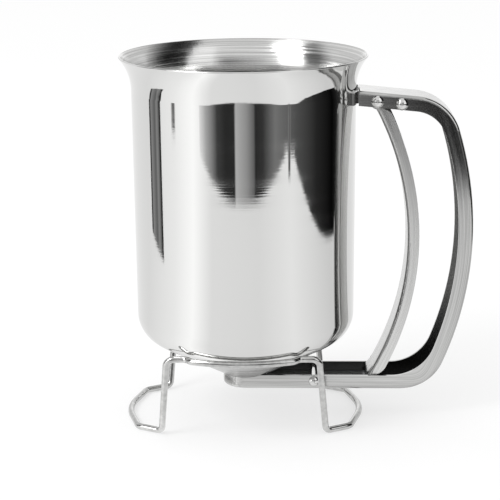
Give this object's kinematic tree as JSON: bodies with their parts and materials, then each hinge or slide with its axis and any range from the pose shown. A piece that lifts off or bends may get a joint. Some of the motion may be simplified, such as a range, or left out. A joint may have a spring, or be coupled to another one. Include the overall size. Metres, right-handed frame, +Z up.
{
  "type": "batter dispenser",
  "caption": "Stainless funnel cup for portioning pancake batter, with a loop handle, a squeeze trigger that opens a slide valve under the cone, and a separate bent-wire rest stand",
  "frame": {"origin": "on the surface that the stand rests on, under the cup's axis", "axes": "+Z up along the cup's axis, +X from the cup towards the handle, +Y across the handle; the long front side faces -Y"},
  "size_m": [0.1607, 0.1126, 0.1705],
  "materials": {
    "cup_steel": "mirror polished stainless steel outside, brushed inside",
    "brushed_steel": "linished stainless sheet",
    "polished_steel": "polished stainless sheet",
    "rivet_steel": "polished stainless rivets",
    "turned_steel": "turned stainless steel",
    "sheet_steel": "plain stainless sheet",
    "spring_steel": "hard-drawn spring wire",
    "wire_steel": "bright drawn stainless wire"
  },
  "bodies": {
    "stand": {"wire_stand": "wire_steel"},
    "dispenser": {"cup": "cup_steel", "outlet_spout": "turned_steel", "handle_channel": "brushed_steel", "handle_bracket": "polished_steel", "pivot_rivet": "rivet_steel", "spacer_rivet": "rivet_steel", "guide_rivet": "rivet_steel", "spacer_tube": "turned_steel", "return_spring": "spring_steel"},
    "trigger_arm": {"trigger": "brushed_steel"},
    "valve": {"valve_slide": "sheet_steel"}
  },
  "joints": [
    {"name": "lift_off", "type": "slide", "parent": "stand", "child": "dispenser", "axis": [0, 0, 1], "range_m": [0, 0.06]},
    {"name": "trigger_squeeze", "type": "hinge", "parent": "dispenser", "child": "trigger_arm", "pos_m": [0.0601, 0, 0.15028], "axis": [0, -1, 0], "range_deg": [0, 6.5], "stiffness_Nm_per_rad": 2, "springref_deg": -14.32},
    {"name": "valve_travel", "type": "slide", "parent": "dispenser", "child": "valve", "axis": [1, 0, 0], "range_m": [0, 0.0152]}
  ],
  "couplings": [
    {"joint": "valve_travel", "follows": "trigger_squeeze", "m_per_rad": 0.1333}
  ]
}
